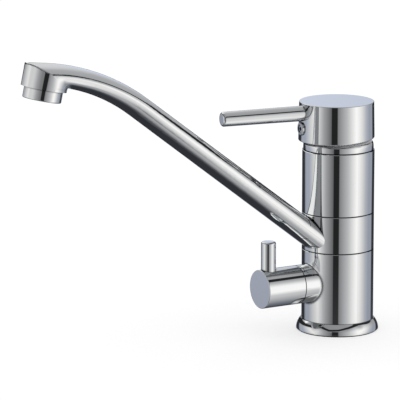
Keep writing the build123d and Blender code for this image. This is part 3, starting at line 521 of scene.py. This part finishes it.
class TAP_OT_chrome_pieces(bpy.types.Operator):
    """Bright chrome plating on the column, spout, lever and knob"""

    bl_idname = "tap.chrome_pieces"
    bl_label = "Chrome pieces"

    HAZE_ROUGHNESS = 0.018
    WIPE_ROUGHNESS = 0.02
    SPOT_ROUGHNESS = 0.03
    CASTING_ROUGHNESS = 0.6
    WIPE_DEPTH = 0.000004
    # Painted shade in seams and corners: how dark it is, over which occlusion it fades, and the share of its
    # reach on the cap and above the dome ring's foot
    SEAM_SHADE = 0.1
    SEAM_SHELTER = (0.45, 0.9)
    CLEAR_REACH = 0.125
    SHELTER_SAMPLES = 12
    ROUND_SAMPLES = 16

    def execute(self, context):
        finish = context.scene.tap_finishes
        plain = self.plating("bright_chrome", finish)
        arm = self.plating("arm_chrome", finish, rounding=self.round_head)
        body = self.plating("body_chrome", finish, rounding=self.round_boss)
        dome = self.plating("dome_chrome", finish, seam=self.dome_seam, bare=self.under_cap)
        cap = self.plating("cap_chrome", finish, seam=self.cap_seam, bare=self.inside_cap)
        dress("chrome", plain)
        dress("chrome", arm, ["spout_arm"])
        dress("chrome", body, ["lower_body"])
        dress("chrome", dome, ["dome_ring"])
        dress("chrome", cap, ["handle_cap"])
        return {"FINISHED"}

    def round_head(self, paint, place, finish):
        """Radius of the hollow between the outlet head and the arm, and of the edge round the head's top."""
        headed = paint.axes(paint.moved(place, HEAD_SHIFT, HEAD_TURN))
        high = paint.within(headed["Z"], HOLLOW_BOTTOM, HOLLOW_TOP)
        behind = paint.within(headed["Y"], HOLLOW_FRONT, HOLLOW_BACK)
        edge = paint.eased(headed["Z"], *HEAD_EDGE_BOTTOM) * (1 - paint.eased(headed["Y"], *HEAD_EDGE_BACK))
        return high * behind * finish.head_blend + edge * finish.head_edge

    def round_boss(self, paint, place, finish):
        """Radius of the hollow where the valve's boss runs into the column."""
        at = paint.axes(place)
        near = 1 - paint.eased(self.off_axis(at["X"], at["Z"] - VALVE_HEIGHT), *BOSS_RIM)
        return near * paint.within(at["Y"], BOSS_END, BOSS_ROOT) * finish.boss_blend

    def dome_seam(self, paint, place, finish):
        """Reach of the painted shade, full at the dome ring's foot and little under the cap, and the painted
        dark line at the foot.
        """
        height = paint.axes(place)["Z"] - DOME_FOOT
        reach = finish.seam_shade_reach * (1 - (1 - self.CLEAR_REACH) * paint.eased(height, *FOOT_SHADE_FADE))
        return reach, paint.eased(height, *FOOT_SHADE_LINE)

    def cap_seam(self, paint, place, finish):
        """Reach of the painted shade on the cap, which hangs clear of the dome ring, short, with no painted
        dark line.
        """
        return finish.seam_shade_reach * self.CLEAR_REACH, 1.0

    def under_cap(self, paint, place):
        """1 on the top of the dome ring, which the lever cap covers, 0 on its plated side."""
        return paint.eased(paint.axes(place)["Z"], *CAP_LINE)

    def inside_cap(self, paint, place):
        """1 on the casting inside the lever cap, 0 on its plated outside."""
        at = paint.axes(paint.moved(place, CAP_SHIFT))
        inner = 1 - paint.eased(self.off_axis(at["X"], at["Y"]), *CAP_BORE)
        return inner * (1 - paint.eased(at["Z"], *CAP_CEILING))

    @staticmethod
    def off_axis(first, second):
        """Distance from an axis, by the two ways across it."""
        return (first * first + second * second) ** 0.5

    def plating(self, name, finish, rounding=None, seam=None, bare=None):
        """Polished plating with wipe marks, water spots, painted shade in the seams and corners, and bare
        casting.
        """
        paint = new_paint(name)
        place = paint.place()
        haze = paint.noise(place, scale=700.0, detail=3.0, roughness=0.6)
        streaked = paint.moved(place, stretch=(1.0, 1.0, 0.35))
        wiped = paint.noise(streaked, scale=55.0, detail=3.0, roughness=0.55, distortion=0.6)
        spots = paint.eased(paint.noise(place, scale=260.0, detail=1.0), start=0.68, end=0.8)
        roughness = finish.chrome_roughness + self.HAZE_ROUGHNESS * haze
        roughness = roughness + self.WIPE_ROUGHNESS * paint.eased(wiped, start=0.5, end=0.85)
        roughness = roughness + self.SPOT_ROUGHNESS * spots
        tint = paint.between(wiped, shade(finish.chrome, 0.98), shade(finish.chrome, 1.03))
        reach, unshaded = seam(paint, place, finish) if seam else (finish.seam_shade_reach, 1.0)
        # Painted shade: the chrome's colour is darkened towards SEAM_SHADE where ambient occlusion finds
        # seams and corners, and along the dome ring's foot
        settings = {"samples": self.SHELTER_SAMPLES}
        shelter = paint.node("ShaderNodeAmbientOcclusion", settings, {"Distance": reach})["AO"]
        open_to_light = unshaded * paint.eased(shelter, *self.SEAM_SHELTER)
        tint = paint.between(open_to_light, shade(finish.chrome, self.SEAM_SHADE), tint)
        metal = 1.0
        if bare:
            cast = bare(paint, place)
            tint = paint.between(cast, tint, finish.casting)
            roughness = roughness + self.CASTING_ROUGHNESS * cast
            metal = 1 - cast
        rounded = None
        if rounding:
            settings = {"samples": self.ROUND_SAMPLES}
            radius = rounding(paint, place, finish)
            rounded = paint.node("ShaderNodeBevel", settings, {"Radius": radius})["Normal"]
        paint.surface({
            "Base Color": tint,
            "Metallic": metal,
            "Roughness": roughness,
            "Normal": paint.bump(wiped, self.WIPE_DEPTH, normal=rounded),
        })
        return paint


class TAP_OT_brass_pieces(bpy.types.Operator):
    """Turned bare brass of the ring nut, the spindles and the valve's headwork"""

    bl_idname = "tap.brass_pieces"
    bl_label = "Brass pieces"

    def execute(self, context):
        brass = context.scene.tap_finishes.brass
        paint = new_paint("turned_brass")
        place = paint.place()
        tarnish = paint.noise(place, scale=180.0, detail=4.0, roughness=0.6)
        turned = paint.moved(place, stretch=(0.02, 0.02, 1.0))
        rings = paint.noise(turned, scale=2600.0, detail=2.0)
        dull = paint.eased(tarnish, start=0.35, end=0.75)
        paint.surface({
            "Base Color": paint.between(dull, shade(brass, 1.05), shade(brass, 0.8)),
            "Metallic": 1.0,
            "Roughness": paint.spread(tarnish, low=0.22, high=0.38),
            "Normal": paint.bump(rings, depth=0.00002, strength=0.6),
        })
        dress("brass", paint)
        return {"FINISHED"}


class TAP_OT_steel_pieces(bpy.types.Operator):
    """Stainless set screws and tilt pin"""

    bl_idname = "tap.steel_pieces"
    bl_label = "Steel pieces"

    def execute(self, context):
        steel = context.scene.tap_finishes.steel
        paint = new_paint("stainless_steel")
        place = paint.place()
        drawn = paint.moved(place, stretch=(1.0, 0.05, 1.0))
        grain = paint.noise(drawn, scale=3000.0, detail=2.0)
        stain = paint.noise(place, scale=240.0, detail=3.0)
        paint.surface({
            "Base Color": paint.between(stain, shade(steel, 0.9), shade(steel, 1.1)),
            "Metallic": 1.0,
            "Roughness": paint.spread(grain, low=0.26, high=0.4),
            "Normal": paint.bump(grain, depth=0.00001, strength=0.5),
        })
        dress("steel", paint)
        return {"FINISHED"}


class TAP_OT_rubber_seals(bpy.types.Operator):
    """Black sealing rings, gasket and washer"""

    bl_idname = "tap.rubber_seals"
    bl_label = "Rubber seals"

    def execute(self, context):
        rubber = context.scene.tap_finishes.rubber
        paint = new_paint("seal_rubber")
        place = paint.place()
        grain = paint.noise(place, scale=3200.0, detail=2.0)
        bloom = paint.noise(place, scale=160.0, detail=4.0, roughness=0.65)
        dusty = paint.eased(bloom, start=0.4, end=0.8)
        paint.surface({
            "Base Color": paint.between(dusty, shade(rubber, 0.85), shade(rubber, 1.9)),
            "Roughness": paint.spread(bloom, low=0.55, high=0.75),
            "Normal": paint.bump(grain, depth=0.00003, strength=0.5),
        })
        dress("rubber", paint)
        return {"FINISHED"}


class TAP_OT_plastic_pieces(bpy.types.Operator):
    """Moulded plastic of the bearing rings, the jet former and the cartridge"""

    bl_idname = "tap.plastic_pieces"
    bl_label = "Plastic pieces"

    def moulded(self, name, colour, fibre):
        """Moulded plastic with a fine grain, and glass fibres that show as pale flecks."""
        paint = new_paint(name)
        place = paint.place()
        grain = paint.noise(place, scale=2600.0, detail=2.0)
        flow = paint.noise(place, scale=120.0, detail=3.0, roughness=0.6, distortion=0.8)
        drawn = paint.moved(place, stretch=(1.0, 1.0, 0.2))
        flecks = paint.eased(paint.noise(drawn, scale=1500.0, detail=1.0), start=0.6, end=0.75)
        body = paint.between(flow, shade(colour, 0.94), shade(colour, 1.03))
        paint.surface({
            "Base Color": paint.between(flecks * fibre, body, shade(colour, 1.25)),
            "Roughness": paint.spread(grain, low=0.4, high=0.55),
            "Normal": paint.bump(grain, depth=0.00002, strength=0.5),
        })
        return paint

    def execute(self, context):
        finish = context.scene.tap_finishes
        dress("jet_plastic", self.moulded("white_acetal", finish.jet_plastic, fibre=0.0))
        dress("bearing_plastic", self.moulded("black_acetal", finish.bearing_plastic, fibre=0.0))
        dress("cartridge_plastic", self.moulded("glass_filled_plastic", finish.cartridge_plastic, fibre=0.5))
        return {"FINISHED"}


class TAP_OT_ceramic_discs(bpy.types.Operator):
    """Lapped ceramic discs of the cartridge and the valve"""

    bl_idname = "tap.ceramic_discs"
    bl_label = "Ceramic discs"

    SPECK_SHARE = 0.4

    def execute(self, context):
        ceramic = context.scene.tap_finishes.ceramic
        paint = new_paint("lapped_ceramic")
        place = paint.place()
        grain = paint.noise(place, scale=5200.0, detail=2.0)
        cloud = paint.noise(place, scale=150.0, detail=3.0)
        speck = paint.eased(paint.noise(place, scale=1700.0, detail=1.0), start=0.7, end=0.8)
        body = paint.between(cloud, shade(ceramic, 0.96), shade(ceramic, 1.02))
        paint.surface({
            "Base Color": paint.between(speck * self.SPECK_SHARE, body, shade(ceramic, 0.6)),
            "Roughness": paint.spread(grain, low=0.16, high=0.28),
            "Normal": paint.bump(grain, depth=0.000004, strength=0.4),
        })
        dress("ceramic", paint)
        return {"FINISHED"}


class TAP_OT_port_threads(bpy.types.Operator):
    """Screw threads in the supply ports and the stud hole under the column"""

    bl_idname = "tap.port_threads"
    bl_label = "Port threads"

    CUT_TOLERANCE = 0.0000001
    MERGE_DISTANCE = 0.000001
    SMOOTH_ANGLE = math.radians(35)

    def thread(self, name, mouth, radius, length, sizes):
        """One thread: a three-sided profile, wound up the bore and cut flush with its ends."""
        deselect()
        turns = math.ceil(length / sizes.pitch) + 1
        middle = radius + sizes.sink - sizes.height / 3
        start = (middle, 0.0, -sizes.pitch)
        bpy.ops.mesh.primitive_circle_add(vertices=3, radius=sizes.height * 2 / 3, location=start)
        thread = bpy.context.object
        thread.name = name
        bpy.ops.object.mode_set(mode="EDIT")
        bpy.ops.mesh.select_all(action="SELECT")
        bpy.ops.transform.rotate(value=math.pi / 2, orient_axis="X", center_override=start)
        bpy.ops.object.mode_set(mode="OBJECT")
        bpy.ops.object.transform_apply(location=True, rotation=True, scale=True)
        winding = thread.modifiers.new("winding", "SCREW")
        winding.axis = "Z"
        winding.screw_offset = sizes.pitch
        winding.iterations = turns
        winding.steps = sizes.steps
        winding.render_steps = sizes.steps
        bpy.ops.object.modifier_apply(modifier=winding.name)
        bpy.ops.object.mode_set(mode="EDIT")
        for height, above in ((0.0, False), (length, True)):
            bpy.ops.mesh.select_all(action="SELECT")
            bpy.ops.mesh.bisect(
                plane_co=(0.0, 0.0, height),
                plane_no=(0.0, 0.0, 1.0),
                threshold=self.CUT_TOLERANCE,
                use_fill=True,
                clear_inner=not above,
                clear_outer=above,
            )
        bpy.ops.mesh.select_all(action="SELECT")
        bpy.ops.mesh.remove_doubles(threshold=self.MERGE_DISTANCE)
        bpy.ops.mesh.normals_make_consistent(inside=False)
        bpy.ops.object.mode_set(mode="OBJECT")
        bpy.ops.transform.translate(value=mouth)
        bpy.ops.object.transform_apply(location=True, rotation=True, scale=True)
        bpy.ops.object.shade_smooth_by_angle(angle=self.SMOOTH_ANGLE)
        return thread

    def execute(self, context):
        sizes = context.scene.tap_threads
        brass = bpy.data.materials["turned_brass"]
        for port in PORTS:
            radius = port["dims"]["r_mm"] / MM_PER_M
            length = port["dims"]["length_mm"] / MM_PER_M
            mouth = Vector(port["pos_m"]) + Vector(port["axis"]) * length / 2
            thread = self.thread(port["name"] + "_thread", mouth, radius, length, sizes)
            thread.data.materials.append(brass)
            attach(thread, "column")
        return {"FINISHED"}


class TAP_OT_studio(bpy.types.Operator):
    """Camera, pale floor and light tent"""

    bl_idname = "tap.studio"
    bl_label = "Studio"

    def camera(self, studio):
        turn, lift = studio.azimuth, studio.elevation
        right = Vector((math.cos(turn), math.sin(turn), 0.0))
        level = Vector((math.sin(turn), -math.cos(turn), 0.0)) * math.cos(lift)
        back = level + Vector((0.0, 0.0, math.sin(lift)))
        middle = Vector((0.0, 0.0, studio.height)) - right * studio.aside
        bpy.ops.object.camera_add(location=middle + back * studio.distance)
        camera = bpy.context.object
        camera.name = "camera"
        camera.rotation_euler = (-back).to_track_quat("-Z", "Y").to_euler()
        camera.data.lens = studio.lens
        camera.data.clip_end = CAMERA_REACH
        bpy.context.scene.camera = camera

    def floor(self, studio):
        """Pale floor that shows white and keeps the tap's shadow."""
        bpy.ops.mesh.primitive_plane_add(size=studio.floor_size)
        floor = bpy.context.object
        floor.name = "floor"
        paint = new_paint("pale_floor")
        cloud = paint.noise(paint.place(), scale=3.0, detail=2.0)
        rays = paint.node("ShaderNodeLightPath")
        seen = rays["Is Camera Ray"] + rays["Is Glossy Ray"] + rays["Is Transmission Ray"]
        values = {"Color": paint.scaled(WHITE[:3], seen), "Strength": FLOOR_GLOW}
        glow = paint.node("ShaderNodeEmission", None, values)["Emission"]
        values = {"Color": paint.between(cloud, *FLOOR_SHADES)}
        cloth = paint.node("ShaderNodeBsdfDiffuse", None, values)["BSDF"]
        both = paint.node("ShaderNodeAddShader", None, {0: cloth, 1: glow})["Shader"]
        paint.node("ShaderNodeOutputMaterial", None, {"Surface": both})
        floor.data.materials.append(paint.owner)
        floor.visible_glossy = False

    def tent(self, studio):
        """Light tent that only the metal sees: side panels, a top panel and the dark gaps between them."""
        bpy.ops.mesh.primitive_uv_sphere_add(
            segments=TENT_SEGMENTS,
            ring_count=TENT_RINGS,
            radius=studio.tent_radius,
            location=(0.0, 0.0, studio.height),
        )
        tent = bpy.context.object
        tent.name = "light_tent"
        paint = new_paint("tent_panels")
        turned = paint.moved(paint.place(), turn=(0.0, 0.0, math.pi / 2 - studio.azimuth))
        outward = paint.node("ShaderNodeVectorMath", {"operation": "NORMALIZE"}, {0: turned})["Vector"]
        way = paint.axes(outward)
        share = paint.math("ARCTAN2", way["Y"], way["X"]) / math.tau + 0.5
        angle = share * 360 - 180
        rise = paint.math("ARCSINE", way["Z"]) * (180 / math.pi)
        far = paint.eased(paint.math("ABSOLUTE", angle), *FAR_ANGLE)
        wall = self.wall_light(paint, way, share, angle, rise)
        tops = self.top_light(paint, share, angle, rise, far)
        over_edge = rise - (self.ramp(paint, share, PANEL_TOP) * 180 - 90)
        under = 1 - paint.eased(over_edge, -GAP_HALF - GAP_SOFT, -GAP_HALF)
        over = paint.eased(over_edge, GAP_HALF, GAP_HALF + GAP_SOFT)
        level = GAP_LIGHT + under * (wall - GAP_LIGHT) + over * (tops - GAP_LIGHT)
        window = paint.within(angle, WINDOW_LEFT, WINDOW_RIGHT)
        window = window * paint.within(rise, WINDOW_BOTTOM, WINDOW_TOP)
        level = level + window * (1 - level)
        tint = self.tint(paint, way, rise, far, level)
        values = {"Color": paint.scaled(tint, level), "Strength": TENT_GAIN}
        light = paint.node("ShaderNodeEmission", None, values)["Emission"]
        paint.node("ShaderNodeOutputMaterial", None, {"Surface": light})
        tent.data.materials.append(paint.owner)
        tent.visible_camera = False
        tent.visible_diffuse = False
        tent.visible_transmission = False
        tent.visible_shadow = False

    def wall_light(self, paint, way, share, angle, rise):
        """Light of the side panels, which lean as they rise, the low panels and the part under the tap."""
        lean = paint.math("MAXIMUM", rise - LEAN_START, 0.0) * (LEAN / 360)
        lean = lean * (paint.eased(angle, *LEAN_RIGHT) - 1 + paint.eased(angle, *LEAN_LEFT))
        sides = self.ramp(paint, share - lean, SIDE_LIGHT)
        lows = self.ramp(paint, share, LOW_LIGHT)
        wall = lows + (sides - lows) * paint.eased(rise, *LOW_TO_SIDE)
        wall = wall * (1 - SIDE_LOSS * paint.eased(rise, *SIDE_LOSS_RISE))
        left = LEFT_LEAST * (1 - paint.eased(angle, *LEFT_LEAST_ANGLE))
        right = RIGHT_LEAST * paint.eased(angle, *RIGHT_LEAST_ANGLE)
        least = (left + right) * paint.eased(rise, *LEAST_RISE)
        least = paint.math("MAXIMUM", least, HIGH_LEAST * paint.eased(rise, *HIGH_LEAST_RISE))
        wall = paint.math("MAXIMUM", wall, least)
        across = 0.5 + NADIR_WAY[0] * way["X"] + NADIR_WAY[1] * way["Y"]
        nadir = self.ramp(paint, across, NADIR_LIGHT)
        return nadir + (wall - nadir) * paint.eased(rise, *NADIR_TO_LOW)

    def top_light(self, paint, share, angle, rise, far):
        """Light of the top panel, less on the right where it comes down low."""
        low = 1 - paint.eased(rise, *TOP_LOSS_RISE)
        right = paint.eased(angle, *TOP_LOSS_ANGLE) * (1 - far)
        return self.ramp(paint, share, TOP_LIGHT) * (1 - TOP_LOSS * right * low)

    def tint(self, paint, way, rise, far, level):
        """Warm where the tent is bright, grey where it is dim, cool behind the tap."""
        low_back = paint.eased(1 - way["X"], *COOL_WAY) * (1 - paint.eased(rise, *COOL_LOW_RISE))
        back = paint.math("MAXIMUM", low_back, far * (1 - paint.eased(rise, *COOL_FAR_RISE)))
        near = paint.between(paint.eased(level, *WARM_LEVEL), GREY_TINT, WARM_TINT)
        return paint.between(back, near, COOL_TINT)

    def ramp(self, paint, share, stops):
        """Level by the share of the way round, from stops in degrees."""
        settings = {"stops": [(degrees / 360 + 0.5, level) for degrees, level in stops]}
        colour = paint.node("ShaderNodeValToRGB", settings, {"Fac": share})["Color"]
        return paint.node("ShaderNodeSeparateColor", None, {0: colour})["Red"]

    def execute(self, context):
        studio = context.scene.tap_studio
        deselect()
        self.camera(studio)
        deselect()
        self.floor(studio)
        deselect()
        self.tent(studio)
        world = bpy.data.worlds.new("white_world")
        context.scene.world = world
        paint = Paint(world)
        sky = paint.node("ShaderNodeBackground", None, {"Color": WHITE, "Strength": 1.0})["Background"]
        paint.node("ShaderNodeOutputWorld", None, {"Surface": sky})
        context.scene.view_settings.view_transform = "Standard"
        return {"FINISHED"}


class TAP_PT_panel(bpy.types.Panel):
    """The tap's sizes, colours and steps"""

    bl_idname = "TAP_PT_panel"
    bl_label = "Mixer tap"
    bl_space_type = "VIEW_3D"
    bl_region_type = "UI"
    bl_category = "Tap"

    def draw(self, context):
        layout = self.layout
        for group in (context.scene.tap_finishes, context.scene.tap_threads, context.scene.tap_studio):
            box = layout.box()
            for name in group.__annotations__:
                box.prop(group, name)
        for step in STEPS:
            layout.operator(step.bl_idname)


GROUPS = {"tap_finishes": TapFinishes, "tap_threads": TapThreads, "tap_studio": TapStudio}
STEPS = [
    TAP_OT_chrome_pieces,
    TAP_OT_brass_pieces,
    TAP_OT_steel_pieces,
    TAP_OT_rubber_seals,
    TAP_OT_plastic_pieces,
    TAP_OT_ceramic_discs,
    TAP_OT_port_threads,
    TAP_OT_studio,
]


def register():
    for kind in (*GROUPS.values(), *STEPS, TAP_PT_panel):
        bpy.utils.register_class(kind)
    for name, kind in GROUPS.items():
        setattr(bpy.types.Scene, name, PointerProperty(type=kind))


def unregister():
    for name in GROUPS:
        delattr(bpy.types.Scene, name)
    for kind in (TAP_PT_panel, *reversed(STEPS), *GROUPS.values()):
        bpy.utils.unregister_class(kind)


def main():
    register()
    bpy.ops.tap.chrome_pieces()
    bpy.ops.tap.brass_pieces()
    bpy.ops.tap.steel_pieces()
    bpy.ops.tap.rubber_seals()
    bpy.ops.tap.plastic_pieces()
    bpy.ops.tap.ceramic_discs()
    bpy.ops.tap.port_threads()
    bpy.ops.tap.studio()


if __name__ == "__main__":
    main()
